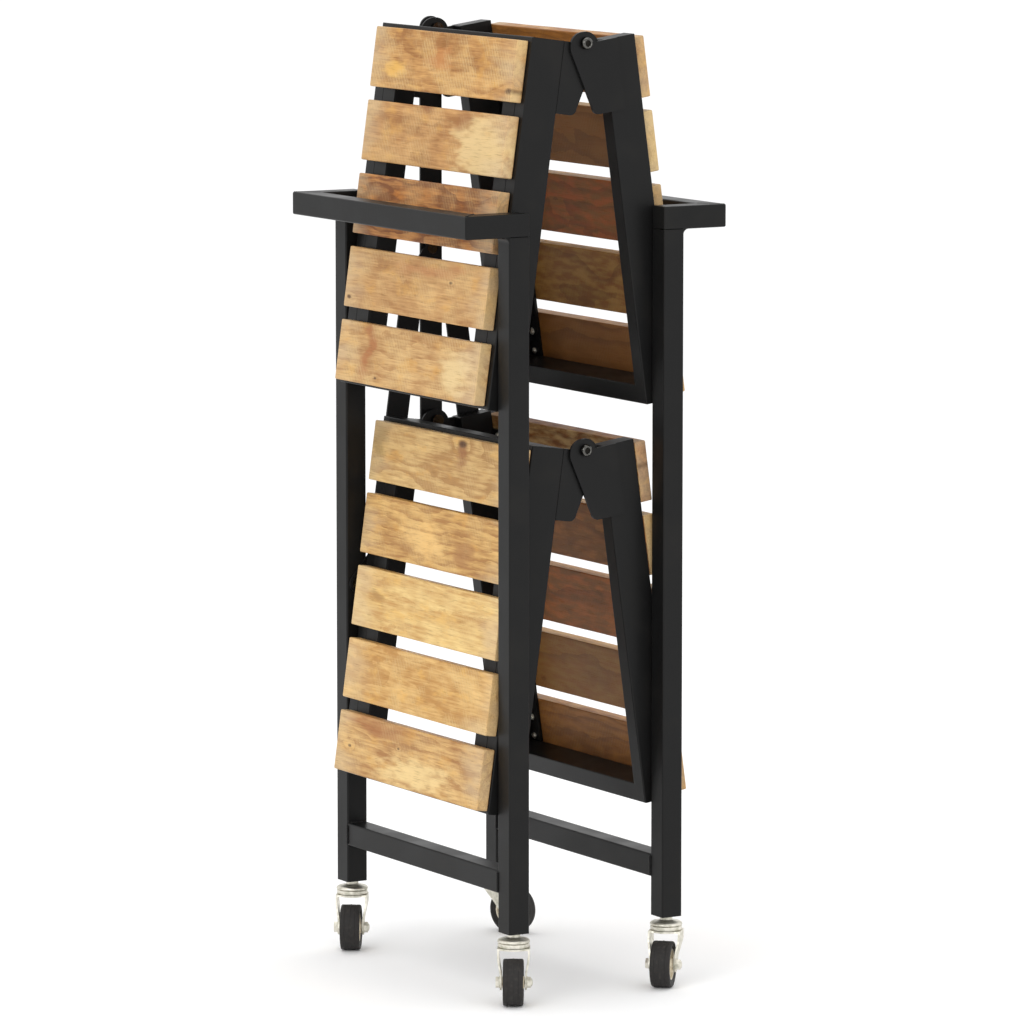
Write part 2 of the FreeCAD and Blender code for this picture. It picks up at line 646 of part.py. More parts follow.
def caster_fork(label, place):
    """Pressed sheet fork with its turning race, in the caster's own frame."""
    low, thick = S["crown_low"], S["fork_sheet"]
    top = low + thick
    crown, foot = S["fork_wide"] / 2, S["fork_foot"] / 2
    axle_x, axle_z = S["caster_trail"], S["wheel_radius"]
    bend_high, bend_low = axle_z + 25, axle_z + 8
    end_low = axle_z - 12
    outline = [(crown, top), (crown, bend_high), (foot, bend_low), (foot, end_low),
               (foot - thick, end_low), (foot - thick, bend_low),
               (crown - thick, bend_high), (crown - thick, low)]
    section = outline + [(-y, z) for y, z in reversed(outline)]
    length = 70.0
    bent = doc.addObject("PartDesign::Body", "Bent")
    pad = bent.newObject("PartDesign::Pad", "Pad")
    pad.Profile = sketch_of(bent, closed_path(section))
    pad.Length = length
    turn = Rotation(Vector(0, 1, 0), Vector(0, 0, 1), Vector(1, 0, 0), "ZXY")
    bent.Placement = Placement(Vector(-length / 2 + 5, 0, 0), turn)
    toe, front, back, shoulder = 8.5, 13.0, -11.0, low - 9
    side_edges = [
        Part.Arc(Vector(axle_x + toe, axle_z, 0), Vector(axle_x, axle_z - toe, 0),
                 Vector(axle_x - toe, axle_z, 0)),
        Part.LineSegment(Vector(axle_x - toe, axle_z, 0), Vector(back, shoulder, 0)),
        Part.LineSegment(Vector(back, shoulder, 0), Vector(back, top, 0)),
        Part.LineSegment(Vector(back, top, 0), Vector(front, top, 0)),
        Part.LineSegment(Vector(front, top, 0), Vector(axle_x + toe, axle_z, 0)),
    ]
    blank = doc.addObject("PartDesign::Body", "Blank")
    blank_pad = blank.newObject("PartDesign::Pad", "Pad")
    blank_pad.Profile = sketch_of(blank, side_edges)
    blank_pad.Length = S["fork_wide"] + 10
    blank.Placement = Placement(Vector(0, crown + 5, 0), Rotation(Vector(1, 0, 0), 90))
    sides = doc.addObject("Part::Common", "Sides")
    sides.Base, sides.Tool = bent, blank
    disc = rod("@fork_wide / 2", low, top, (0, 0), "Z")
    race = rod("@fork_wide / 2 - 2.5", top, S["race_top"], (0, 0), "Z")
    king_hole = rod("@kingpin_radius + @running_fit", low - 1, S["race_top"] + 1, (0, 0), "Z")
    axle_hole = rod("@axle_radius", -crown - 1, crown + 1, (axle_x, axle_z))
    keep(cut(fuse(sides, disc, race), king_hole, axle_hole), label, place)


def caster_tyre(label, place):
    """Moulded rubber tyre with eased shoulders."""
    out, bore, half = S["wheel_radius"], S["tyre_bore"], S["tyre_wide"] / 2
    profile = [(bore, half - 1.5), (bore + 3, half), (out - 3, half), (out - 0.8, half - 1),
               (out, half - 3)]
    ring = turned(profile + [(r, -y) for r, y in reversed(profile)])
    ring.Placement.Base = Vector(S["caster_trail"], 0, out)
    keep(ring, label, place)


def caster_hub(label, place):
    """Dished hub that runs on the axle bolt."""
    bore = S["axle_radius"] + S["running_fit"]
    rim, half = S["tyre_bore"], S["tyre_wide"] / 2 - 1.5
    boss_half = S["fork_foot"] / 2 - S["fork_sheet"] - 0.5
    boss, dish, web = 7.0, rim - 2.5, half - 4.0
    profile = [(bore, boss_half), (boss, boss_half), (boss, web), (dish, web), (dish, half),
               (rim, half)]
    hub = turned(profile + [(r, -y) for r, y in reversed(profile)])
    hub.Placement.Base = Vector(S["caster_trail"], 0, S["wheel_radius"])
    keep(hub, label, place)


def caster_axle(label, place):
    """Axle bolt with a hexagon head at one end and a nut at the other."""
    reach = S["fork_foot"] / 2
    across, tall = 10.5, 4.0
    spot = (S["caster_trail"], S["wheel_radius"])
    shank = rod("@axle_radius", -reach, reach + tall + 1.5, spot)
    ends = []
    for start in (-reach - tall, reach):
        hexagon = doc.addObject("Part::Prism", "Hexagon")
        hexagon.Polygon = 6
        hexagon.Circumradius = across / math.sqrt(3)
        hexagon.Height = tall
        hexagon.Placement = Placement(Vector(spot[0], start, spot[1]),
                                      Rotation(Vector(1, 0, 0), -90))
        ends.append(hexagon)
    keep(fuse(shank, *ends), label, place)


# ---------------------------------------------------------------- the whole trolley
for name, side in SIDES:
    legs(name, side)
    cross_rail(name, side)
    handle(name, side)
    pivot_bolts(name, side)
    caster_stems(name, side)
    stay(name, side)
for tier in TIERS:
    ridge_bolts(tier)
    for name, side in SIDES:
        half = f"{tier}_{name}"
        shelf_frame(half, side, tier)
        slats(half, side, tier)
        slat_screws(half, side, tier)
centre_link()
link_pins()
for end_name, _ in ENDS:
    for side_name, _ in SIDES:
        corner = f"{end_name}_{side_name}"
        place = caster_place(side_name, end_name)
        caster_fork(f"{corner}_fork", place)
        caster_tyre(f"{corner}_tyre", place)
        caster_hub(f"{corner}_hub", place)
        caster_axle(f"{corner}_axle", place)
doc.recompute()

# ---------------------------------------------------------------- checks and files
for obj in doc.Objects:
    if "Invalid" in obj.State or "Error" in obj.State:
        raise RuntimeError(f"{obj.Label} failed: {obj.State}")
for obj in nodes:
    if obj.Shape.isNull() or not obj.Shape.isValid() or not obj.Shape.Solids:
        raise RuntimeError(f"{obj.Label} has no valid solid")
os.makedirs("parts", exist_ok=True)
whole = FreeCAD.BoundBox()
for obj in nodes:
    obj.Shape.exportStep(f"parts/{obj.Label}.step")
    whole.add(obj.Shape.BoundBox)
print(len(nodes), "sub-parts, box from",
      [round(v, 1) for v in (whole.XMin, whole.YMin, whole.ZMin)], "to",
      [round(v, 1) for v in (whole.XMax, whole.YMax, whole.ZMax)])
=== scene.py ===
import json
import math

import bmesh
import bpy
from bpy.props import FloatProperty, FloatVectorProperty, IntProperty, PointerProperty
from mathutils import Matrix, Vector, noise


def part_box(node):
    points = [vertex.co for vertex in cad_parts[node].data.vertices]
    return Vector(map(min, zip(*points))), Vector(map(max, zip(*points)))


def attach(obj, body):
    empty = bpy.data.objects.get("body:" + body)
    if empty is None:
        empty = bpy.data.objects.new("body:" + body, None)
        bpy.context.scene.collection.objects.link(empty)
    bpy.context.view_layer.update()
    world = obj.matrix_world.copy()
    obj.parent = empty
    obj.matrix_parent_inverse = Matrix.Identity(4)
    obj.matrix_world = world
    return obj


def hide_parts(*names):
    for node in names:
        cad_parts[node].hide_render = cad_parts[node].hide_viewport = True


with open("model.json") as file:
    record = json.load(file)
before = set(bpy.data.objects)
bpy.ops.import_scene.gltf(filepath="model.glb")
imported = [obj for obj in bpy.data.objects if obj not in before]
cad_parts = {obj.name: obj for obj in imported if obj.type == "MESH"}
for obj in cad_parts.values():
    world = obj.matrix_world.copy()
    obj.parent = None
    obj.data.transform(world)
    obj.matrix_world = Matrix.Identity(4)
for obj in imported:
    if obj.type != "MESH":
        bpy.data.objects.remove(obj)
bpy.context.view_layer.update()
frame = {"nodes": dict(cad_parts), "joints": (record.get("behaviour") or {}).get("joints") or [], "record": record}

# Finishes and small fittings of a two-tier trolley that folds at the ridge of each shelf.
# X runs from the left end frame to the right one, Y from front to back, Z up, in metres.
bl_info = {
    "name": "Folding slatted trolley",
    "version": (1, 0, 0),
    "blender": (4, 5, 0),
    "location": "View3D > Sidebar > Trolley",
    "description": "Boards, welds, bolts, casters and finishes of a folding slatted trolley",
    "category": "Object",
}

MM = 0.001
SIDES = {"left": -1, "right": 1}
TIERS = ("upper", "lower")
ENDS = ("front", "back")
JOINTS = {joint["name"]: joint for joint in frame["joints"]}
# Folded, each half shelf leans this far from upright.
LEAN = math.radians(90 - max(JOINTS["fold"]["range_deg"]))
# Sockets of a Mix node set to colours, and the settings of the two commonest nodes.
MIX_A, MIX_B, MIX_COLOUR = 6, 7, 2
BLENDED = {"data_type": "RGBA", "output": MIX_COLOUR}
EASED = {"interpolation_type": "SMOOTHSTEP"}
# How far the edge of a knot and of a stain strays along and across the board.
KNOT_SWAY = (12 * MM, 6 * MM)
STAIN_SWAY = (70 * MM, 40 * MM)
# A knot is this many times longer along the board than across it.
KNOT_STRETCH = 1 / 0.45
# Faces that meet at more than this show a sharp edge.
CREVICE_ANGLE = math.radians(38)


def linear(code):
    """An sRGB hex colour as linear red, green, blue and alpha."""
    parts = [int(code[at:at + 2], 16) / 255 for at in (1, 3, 5)]
    curve = [p / 12.92 if p <= 0.04045 else ((p + 0.055) / 1.055) ** 2.4 for p in parts]
    return (*curve, 1.0)


def colour_setting(name, description, code):
    """A colour that the user can change, from its sRGB hex value."""
    return FloatVectorProperty(name=name, description=description, size=4, min=0, max=1,
                               subtype="COLOR", default=linear(code))


def length_setting(name, description, millimetres):
    """A length that the user can change, from its value in millimetres."""
    return FloatProperty(name=name, description=description, default=millimetres * MM,
                         min=0, unit="LENGTH", subtype="DISTANCE", precision=5)


class BoardSettings(bpy.types.PropertyGroup):
    """Sizes and colours shared by all the slats."""

    edge_round: length_setting("Edge round", "Hand-eased edge of a slat", 1.5)
    edge_wave: length_setting("Edge wave", "How far an edge wanders along the slat", 0.35)
    # Real pores are a third as wide and saw cuts half as far apart: these still show.
    pore_wide: length_setting("Pore width", "Open pore across the grain", 0.9)
    pore_long: length_setting("Pore length", "Open pore along the grain", 22)
    saw_pitch: length_setting("Saw pitch", "Between two cuts of the band saw", 3.4)
    # Painted shade: the darker brown that the underside of every slat takes.
    shaded_back: colour_setting("Rough back", "Unplaned, oiled underside", "#855524")
    knot: colour_setting("Knot", "Heart of a knot", "#4d2f1d")


class SteelSettings(bpy.types.PropertyGroup):
    """Paint and weld of the steel frames."""

    paint: colour_setting("Paint", "Satin black powder coat", "#161616")
    # The real peel is about half as coarse, too fine to show.
    peel: length_setting("Orange peel", "Ripple of the cured powder", 1.6)
    bead: length_setting("Weld bead", "Half the width of a weld bead", 1.8)
    ripple: length_setting("Weld ripple", "Between two ripples of a bead", 2.2)


class FittingSettings(bpy.types.PropertyGroup):
    """Plated fittings and casters."""

    zinc: colour_setting("Zinc", "Passivated zinc plate", "#e2ded2")
    chrome: colour_setting("Chrome", "Plate on the bolts", "#5c5b58")
    rubber: colour_setting("Rubber", "Tyre", "#272524")
    hub: colour_setting("Hub", "Moulded wheel centre", "#e6dcc6")
    plug: colour_setting("Plug", "Plastic plug in a leg", "#1d1c1c")
    steps: IntProperty(name="Steps", description="Sides of a turned shape", default=64,
                       min=12, max=128)


class StageSettings(bpy.types.PropertyGroup):
    """Floor, light and camera."""

    floor: colour_setting("Floor", "Pale studio floor", "#ffffff")
    azimuth: FloatProperty(name="Azimuth", description="Camera round the trolley",
                           default=math.radians(-30.6), unit="ROTATION", subtype="ANGLE")
    elevation: FloatProperty(name="Elevation", description="Camera above the horizon",
                             default=math.radians(7.5), unit="ROTATION", subtype="ANGLE")
    distance: FloatProperty(name="Distance", description="Camera from the middle of the view",
                            default=7.11, min=1, unit="LENGTH", subtype="DISTANCE")
    aim_height: FloatProperty(name="Aim height", description="Middle of the view above floor",
                              default=0.506, unit="LENGTH", subtype="DISTANCE")
    lens: FloatProperty(name="Lens", description="Focal length", default=228.5, min=10,
                        unit="CAMERA")


# ------------------------------------------------------------------ materials
def add(tree, kind, *values, sockets=None, output=0, **settings):
    """Add a node with its settings and its inputs, in order or by socket; gives one output."""
    made = tree.nodes.new(f"ShaderNode{kind}")
    for name, value in settings.items():
        setattr(made, name, value)
    for socket, value in (*enumerate(values), *(sockets or {}).items()):
        if isinstance(value, bpy.types.NodeSocket):
            tree.links.new(value, made.inputs[socket])
        else:
            made.inputs[socket].default_value = value
    return made.outputs[output]


def new_material(name, **constants):
    """A material with its shader's constant sockets set; returns it, its tree and shader."""
    material = bpy.data.materials.new(name)
    material.use_nodes = True
    tree = material.node_tree
    shader = tree.nodes["Principled BSDF"]
    for socket, value in constants.items():
        shader.inputs[socket.replace("_", " ")].default_value = value
    return material, tree, shader


def finish_shader(tree, shader, colour, rough, height=None, strength=0.0, depth=0.3 * MM):
    """Link a colour, a roughness and, where there is one, a bump height to the shader."""
    tree.links.new(colour, shader.inputs["Base Color"])
    tree.links.new(rough, shader.inputs["Roughness"])
    if height:
        bump = add(tree, "Bump", sockets={"Height": height, "Strength": strength, "Distance": depth})
        tree.links.new(bump, shader.inputs["Normal"])


def streaks(tree, place, across, along, seed, detail=2, output="Fac"):
    """Noise drawn out along a board: its size across the grain and along it, in metres."""
    moved = {"Location": (seed, 2.3 * seed, 0.7 * seed),
             "Scale": (1 / across, 1 / along, 1 / across)}
    sized = add(tree, "Mapping", place, sockets=moved)
    return add(tree, "TexNoise", sized, sockets={"Scale": 1, "Detail": detail}, output=output)


def bands(spacing):
    """Scale of a wave texture whose bands lie this far apart."""
    return math.pi / (10 * spacing)


def ragged_reach(tree, own, ragged, sway, spot, half):
    """How far a point lies from a spot on the board, in half sizes along and across it."""
    swayed = add(tree, "VectorMath", ragged, (0, *sway), operation="MULTIPLY")
    loose = add(tree, "VectorMath", own, swayed, operation="ADD")
    offset = add(tree, "VectorMath", loose, (0, *spot), operation="SUBTRACT")
    counted = add(tree, "VectorMath", offset, (0, 1 / half[0], 1 / half[1]), operation="MULTIPLY")
    return add(tree, "VectorMath", counted, operation="LENGTH", output="Value")


def knots(tree, own, ragged, board, up):
    """A dark heart for each knot, and a wide hollow that the grain bends round."""
    heart, hollow = None, None
    for along, across, radius in board["knots"]:
        reach = ragged_reach(tree, own, ragged, KNOT_SWAY, (along * MM, up * across * MM),
                             (radius * KNOT_STRETCH * MM, radius * MM))
        dark = add(tree, "MapRange", reach, 0.35, 1.25, 0.9, 0, **EASED)
        wide = add(tree, "MapRange", reach, 0.2, 4.5, 1, 0, **EASED)
        heart = add(tree, "Math", heart, dark, operation="MAXIMUM") if heart else dark
        hollow = add(tree, "Math", hollow, wide, operation="MAXIMUM") if hollow else wide
    return heart, hollow


def growth_rings(tree, own, ragged, board, hollow):
    """Late wood of rings round a pith that lies behind the board, warped so that they arch."""
    sway = board["sway"] * MM
    depth, aside = board["pith"]
    from_pith = add(tree, "VectorMath", own, (depth * MM, 0, aside * MM), operation="ADD")
    swayed = add(tree, "VectorMath", ragged, (sway, 0, sway), operation="MULTIPLY")
    grown = add(tree, "VectorMath", from_pith, swayed, operation="ADD")
    if hollow:
        lifted = add(tree, "Math", hollow, 1.1 * board["ring"] * MM, operation="MULTIPLY")
        grown = add(tree, "VectorMath", grown, add(tree, "CombineXYZ", lifted), operation="ADD")
    rings = add(tree, "TexWave", grown,
                sockets={"Scale": bands(board["ring"] * MM), "Distortion": 1.6, "Detail": 3,
                         "Detail Scale": 1.4, "Detail Roughness": 0.6},
                wave_type="RINGS", rings_direction="Y", wave_profile="SAW", output="Fac")
    return add(tree, "MapRange", rings, 0.45, 0.97, **EASED)


def mango_board(name, board, centre, turn, up, thickness, seed):
    """Sawn and planed mango wood under thin satin lacquer.

    The eye sees honey to straw colours, blotched and streaked along the grain, open
    pores, saw marks straight across, here and there a long knot with the grain swept
    round it, paler dry ends and a darker brown back, which is painted shade.
    """
    wood = bpy.context.scene.trolley_boards
    material, tree, shader = new_material(
        f"planed_mango_{name}", Coat_Weight=0.03, Coat_Roughness=0.35, Specular_IOR_Level=0.18)
    spot = add(tree, "TexCoord", output="Object")
    own = add(tree, "Mapping", spot, sockets={"Location": centre, "Rotation": (0, turn, 0)},
              vector_type="TEXTURE")

    # Warp shared by the rings and the knots, so that nothing is drawn with a compass.
    warp = streaks(tree, own, 0.035, 0.13, seed, output="Color")
    ragged = add(tree, "VectorMath", warp, (0.5, 0.5, 0.5), operation="SUBTRACT")
    heart, hollow = knots(tree, own, ragged, board, up)
    late = growth_rings(tree, own, ragged, board, hollow)

    # Blotches of three sizes, all longer along the grain than across it.
    broad = add(tree, "MapRange", streaks(tree, own, 0.028, 0.09, seed + 7), 0.33, 0.67, **EASED)
    blotch = add(tree, "MapRange", streaks(tree, own, 0.0075, 0.03, seed + 8, 4), 0.36, 0.66, **EASED)
    fine = add(tree, "MapRange", streaks(tree, own, 0.0022, 0.05, seed + 3, 4), 0.34, 0.68, **EASED)
    shade = add(tree, "Math", late, board["figure"], operation="MULTIPLY")
    for layer, share in ((broad, 0.36), (blotch, 0.34), (fine, 0.4)):
        shade = add(tree, "Math", layer, share, shade, operation="MULTIPLY_ADD")
    colour = add(tree, "Mix", sockets={"Factor": shade, MIX_A: linear(board["pale"]),
                                       MIX_B: linear(board["deep"])}, **BLENDED)
    glow = add(tree, "MapRange", streaks(tree, own, 0.014, 0.034, seed + 13, 3),
               0.52, 0.72, 0, 0.5, **EASED)
    colour = add(tree, "Mix", sockets={"Factor": glow, MIX_A: colour,
                                       MIX_B: linear(board["glow"])}, **BLENDED)

    # A stain or a paler stretch somewhere along the board, with a ragged edge.
    for code, along, across, long_half, wide_half in board["stains"]:
        reach = ragged_reach(tree, own, ragged, STAIN_SWAY, (along * MM, up * across * MM),
                             (long_half * MM, wide_half * MM))
        blotted = add(tree, "Math", blotch, 0.45, reach, operation="MULTIPLY_ADD")
        patch = add(tree, "MapRange", blotted, 0.55, 1.45, 0.8, 0, **EASED)
        colour = add(tree, "Mix", sockets={"Factor": patch, MIX_A: colour, MIX_B: linear(code)},
                     **BLENDED)

    # The ends have dried paler and greyer.
    from_middle = add(tree, "Math", add(tree, "SeparateXYZ", own, output="Y"), operation="ABSOLUTE")
    worn_end = add(tree, "Math", broad, 0.04, from_middle, operation="MULTIPLY_ADD")
    dry = add(tree, "MapRange", worn_end, 0.125, 0.185, 0, 0.42, **EASED)
    colour = add(tree, "Mix", sockets={"Factor": dry, MIX_A: colour, MIX_B: linear("#d3bf9c")},
                 **BLENDED)

    # Open pores, darker than the wood round them and slightly sunk.
    pore = streaks(tree, own, wood.pore_wide, wood.pore_long, seed + 11, 3)
    pores = add(tree, "MapRange", pore, 0.54, 0.72, **EASED)
    dark_pore = [part * 0.5 for part in linear(board["deep"])[:3]] + [1]
    dimmed = add(tree, "Math", pores, 0.42, operation="MULTIPLY")
    colour = add(tree, "Mix", sockets={"Factor": dimmed, MIX_A: colour, MIX_B: dark_pore}, **BLENDED)
    if heart:
        colour = add(tree, "Mix", sockets={"Factor": heart, MIX_A: colour, MIX_B: wood.knot}, **BLENDED)

    # Band-saw cuts straight across the grain, scraped pale where the planer missed them.
    cuts = add(tree, "TexWave", own,
               sockets={"Scale": bands(wood.saw_pitch), "Distortion": 2.2, "Detail": 2,
                        "Detail Scale": 3},
               wave_type="BANDS", bands_direction="Y", output="Fac")
    missed = add(tree, "MapRange", streaks(tree, own, 0.03, 0.035, seed + 9, 3),
                 0.4, 0.62, 0, board["saw"], **EASED)
    sawn = add(tree, "Math", cuts, missed, operation="MULTIPLY")
    scraped = add(tree, "Math", sawn, 0.6, operation="MULTIPLY")
    colour = add(tree, "Mix", sockets={"Factor": scraped, MIX_A: colour,
                                       MIX_B: linear(board["scrape"])}, **BLENDED)

    # The back is painted shade: a darker brown on the underside, blotched, with the same streaks under it.
    blotched = add(tree, "Mix", sockets={"Factor": blotch, MIX_A: wood.shaded_back,
                                         MIX_B: linear(board["back"])}, **BLENDED)
    faint = add(tree, "Math", late, 0.4, operation="MULTIPLY")
    streaked = add(tree, "Mix", sockets={"Factor": faint, MIX_A: blotched,
                                         MIX_B: linear("#55361a")}, **BLENDED)
    # Painted shade: the underside face blends to the darker back colour.
    back = add(tree, "MapRange", add(tree, "SeparateXYZ", own, output="X"),
               -thickness / 2 + 0.6 * MM, -thickness / 2 + 1.4 * MM, 0.92, 0, **EASED)
    colour = add(tree, "Mix", sockets={"Factor": back, MIX_A: colour, MIX_B: streaked}, **BLENDED)

    rough = add(tree, "MapRange", pores, 0, 1, board["gloss"], board["gloss"] + 0.18, **EASED)
    low = add(tree, "Math", pores, -0.7, sawn, operation="MULTIPLY_ADD")
    height = add(tree, "Math", fine, 0.4, low, operation="MULTIPLY_ADD")
    finish_shader(tree, shader, colour, rough, height, 0.6)
    return material


def powder_coat():
    """Satin black polyester powder, baked on: a soft sheen over a faint orange peel."""
    steel = bpy.context.scene.trolley_steel
    material, tree, shader = new_material("satin_black_powder_coat", Specular_IOR_Level=0.16)
    spot = add(tree, "TexCoord", output="Object")
    cloud = add(tree, "TexNoise", spot, sockets={"Scale": 1 / (50 * MM), "Detail": 2})
    peel = add(tree, "TexNoise", spot, sockets={"Scale": 1 / steel.peel, "Detail": 1})
    dust = add(tree, "MapRange", cloud, 0.45, 0.75, 0, 0.25, **EASED)
    colour = add(tree, "Mix", sockets={"Factor": dust, MIX_A: steel.paint,
                                       MIX_B: linear("#24221f")}, **BLENDED)
    rough = add(tree, "MapRange", cloud, 0.35, 0.65, 0.34, 0.42, **EASED)
    finish_shader(tree, shader, colour, rough, peel, 0.12)
    return material


def zinc_plate():
    """Pressed steel, zinc plated and passivated: pale, faintly mottled, half dull."""
    fittings = bpy.context.scene.trolley_fittings
    material, tree, shader = new_material("passivated_zinc_plate", Metallic=1.0)
    spot = add(tree, "TexCoord", output="Object")
    bloom = add(tree, "TexNoise", spot, sockets={"Scale": 1 / (6 * MM), "Detail": 3})
    # The crystals of the plate are finer than this: at 2.5 mm they still show.
    spangle = add(tree, "TexVoronoi", spot, sockets={"Scale": 1 / (2.5 * MM)}, output="Distance")
    mottle = add(tree, "MapRange", bloom, 0.35, 0.7, **EASED)
    colour = add(tree, "Mix", sockets={"Factor": mottle, MIX_A: fittings.zinc,
                                       MIX_B: linear("#c3c1b2")}, **BLENDED)
    rough = add(tree, "MapRange", bloom, 0.3, 0.7, 0.36, 0.52, **EASED)
    finish_shader(tree, shader, colour, rough, spangle, 0.08)
    return material


def bright_plate():
    """Chromed bolt head, polished and then handled: bright, with fine cloudy smears."""
    fittings = bpy.context.scene.trolley_fittings
    material, tree, shader = new_material("bright_chrome_plate", Metallic=1.0)
    spot = add(tree, "TexCoord", output="Object")
    smear = add(tree, "TexNoise", spot, sockets={"Scale": 1 / (3 * MM), "Detail": 3})
    cloudy = add(tree, "MapRange", smear, 0.4, 0.8, 0, 0.4, **EASED)
    colour = add(tree, "Mix", sockets={"Factor": cloudy, MIX_A: fittings.chrome,
                                       MIX_B: linear("#3f3e3b")}, **BLENDED)
    rough = add(tree, "MapRange", smear, 0.3, 0.7, 0.08, 0.2, **EASED)
    finish_shader(tree, shader, colour, rough)
    return material


def shaded_socket_floor():
    """Painted shade at the bottom of a socket: dark metal that stays dark beside the bright rim."""
    material, tree, shader = new_material("painted_shade_socket_floor", Metallic=1.0)
    spot = add(tree, "TexCoord", output="Object")
    shade_mottle = add(tree, "TexNoise", spot, sockets={"Scale": 1 / MM, "Detail": 2})
    colour = add(tree, "Mix", sockets={"Factor": shade_mottle, MIX_A: linear("#141312"),
                                       MIX_B: linear("#2a2825")}, **BLENDED)
    rough = add(tree, "MapRange", shade_mottle, 0.3, 0.7, 0.35, 0.5, **EASED)
    finish_shader(tree, shader, colour, rough)
    return material


def tyre_rubber():
    """Moulded black rubber: dull, slightly dusty on the tread."""
    fittings = bpy.context.scene.trolley_fittings
    material, tree, shader = new_material("moulded_black_rubber", Specular_IOR_Level=0.25)
    spot = add(tree, "TexCoord", output="Object")
    scuff = add(tree, "TexNoise", spot, sockets={"Scale": 1 / (4 * MM), "Detail": 4})
    # The mould's grain is finer than this: at 0.7 mm it still shows.
    speckle = add(tree, "TexNoise", spot, sockets={"Scale": 1 / (0.7 * MM), "Detail": 2})
    dusty = add(tree, "MapRange", scuff, 0.45, 0.75, 0, 0.5, **EASED)
    colour = add(tree, "Mix", sockets={"Factor": dusty, MIX_A: fittings.rubber,
                                       MIX_B: linear("#403d3a")}, **BLENDED)
    rough = add(tree, "MapRange", scuff, 0.35, 0.65, 0.5, 0.68, **EASED)
    finish_shader(tree, shader, colour, rough, speckle, 0.25, 0.2 * MM)
    return material


def hub_nylon():
    """Injection-moulded cream nylon: soft gloss, greyer where hands and floor reach it."""
    fittings = bpy.context.scene.trolley_fittings
    material, tree, shader = new_material("moulded_cream_nylon", IOR=1.53)
    spot = add(tree, "TexCoord", output="Object")
    grime = add(tree, "TexNoise", spot, sockets={"Scale": 1 / (8 * MM), "Detail": 4})
    greyed = add(tree, "MapRange", grime, 0.45, 0.8, 0, 0.6, **EASED)
    colour = add(tree, "Mix", sockets={"Factor": greyed, MIX_A: fittings.hub,
                                       MIX_B: linear("#a89b84")}, **BLENDED)
    rough = add(tree, "MapRange", grime, 0.3, 0.7, 0.32, 0.5, **EASED)
    finish_shader(tree, shader, colour, rough)
    return material


def plug_plastic():
    """Black polyethylene plug: waxy, with a fine moulded grain."""
    fittings = bpy.context.scene.trolley_fittings
    material, tree, shader = new_material("moulded_black_polyethylene", Specular_IOR_Level=0.3)
    spot = add(tree, "TexCoord", output="Object")
    grain = add(tree, "TexNoise", spot, sockets={"Scale": 1 / MM, "Detail": 2})
    worn = add(tree, "MapRange", grain, 0.4, 0.7, 0, 0.3, **EASED)
    colour = add(tree, "Mix", sockets={"Factor": worn, MIX_A: fittings.plug,
                                       MIX_B: linear("#2b2a29")}, **BLENDED)
    rough = add(tree, "MapRange", grain, 0.3, 0.7, 0.45, 0.6, **EASED)
    finish_shader(tree, shader, colour, rough)
    return material


def floor_paper():
    """Matt studio paper, rolled flat: almost no texture of its own."""
    stage = bpy.context.scene.trolley_stage
    material, tree, shader = new_material("matt_studio_paper", IOR=1.45)
    spot = add(tree, "TexCoord", output="Object")
    fibre = add(tree, "TexNoise", spot, sockets={"Scale": 1 / (300 * MM), "Detail": 2})
    faint = add(tree, "MapRange", fibre, 0.3, 0.7, 0, 0.2, **EASED)
    colour = add(tree, "Mix", sockets={"Factor": faint, MIX_A: stage.floor,
                                       MIX_B: linear("#fbfbfb")}, **BLENDED)
    rough = add(tree, "MapRange", fibre, 0.3, 0.7, 0.85, 0.95, **EASED)
    finish_shader(tree, shader, colour, rough)
    return material


def shared(maker):
    """The one material that a maker function makes, made the first time it is asked for."""
    if maker.__name__ not in MADE:
        MADE[maker.__name__] = maker()
    return MADE[maker.__name__]


MADE = {}


# ------------------------------------------------------------------ shapes
def turned(profile, closed=False):
    """A round shape: points of radius and height in millimetres, spun about Z."""
    steps = bpy.context.scene.trolley_fittings.steps
    bm = bmesh.new()
    spots = [bm.verts.new((radius * MM, 0, height * MM)) for radius, height in profile]
    pairs = list(zip(spots, spots[1:] + spots[:1])) if closed else list(zip(spots, spots[1:]))
    edges = [bm.edges.new(pair) for pair in pairs]
    bmesh.ops.spin(bm, geom=spots + edges, axis=(0, 0, 1), cent=(0, 0, 0), angle=math.tau,
                   steps=steps, use_merge=True)
    bmesh.ops.remove_doubles(bm, verts=bm.verts, dist=1e-6)
    bmesh.ops.recalc_face_normals(bm, faces=bm.faces)
    return bm


def block(size):
    """A box round the origin, size in metres."""
    bm = bmesh.new()
    bmesh.ops.create_cube(bm, size=1)
    bmesh.ops.scale(bm, vec=size, verts=bm.verts)
    return bm


def hexagon(across_flats, tall):
    """A hexagonal nut or head standing on z = 0, its upper rim chamfered."""
    bm = bmesh.new()
    bmesh.ops.create_cone(bm, cap_ends=True, segments=6, radius1=across_flats / math.sqrt(3),
                          radius2=across_flats / math.sqrt(3), depth=tall)
    bmesh.ops.translate(bm, vec=(0, 0, tall / 2), verts=bm.verts)
    rim = [edge for edge in bm.edges if min(v.co.z for v in edge.verts) > 0.99 * tall]
    bmesh.ops.bevel(bm, geom=rim, offset=0.14 * tall, segments=2, profile=0.5,
                    affect="EDGES", material=-1)
    return bm


def soften(bm, width, segments=3):
    """Round every edge that turns sharply."""
    sharp = [edge for edge in bm.edges if edge.calc_face_angle(0) > CREVICE_ANGLE]
    bmesh.ops.bevel(bm, geom=sharp, offset=width, segments=segments, profile=0.5,
                    affect="EDGES", material=-1)
    return bm


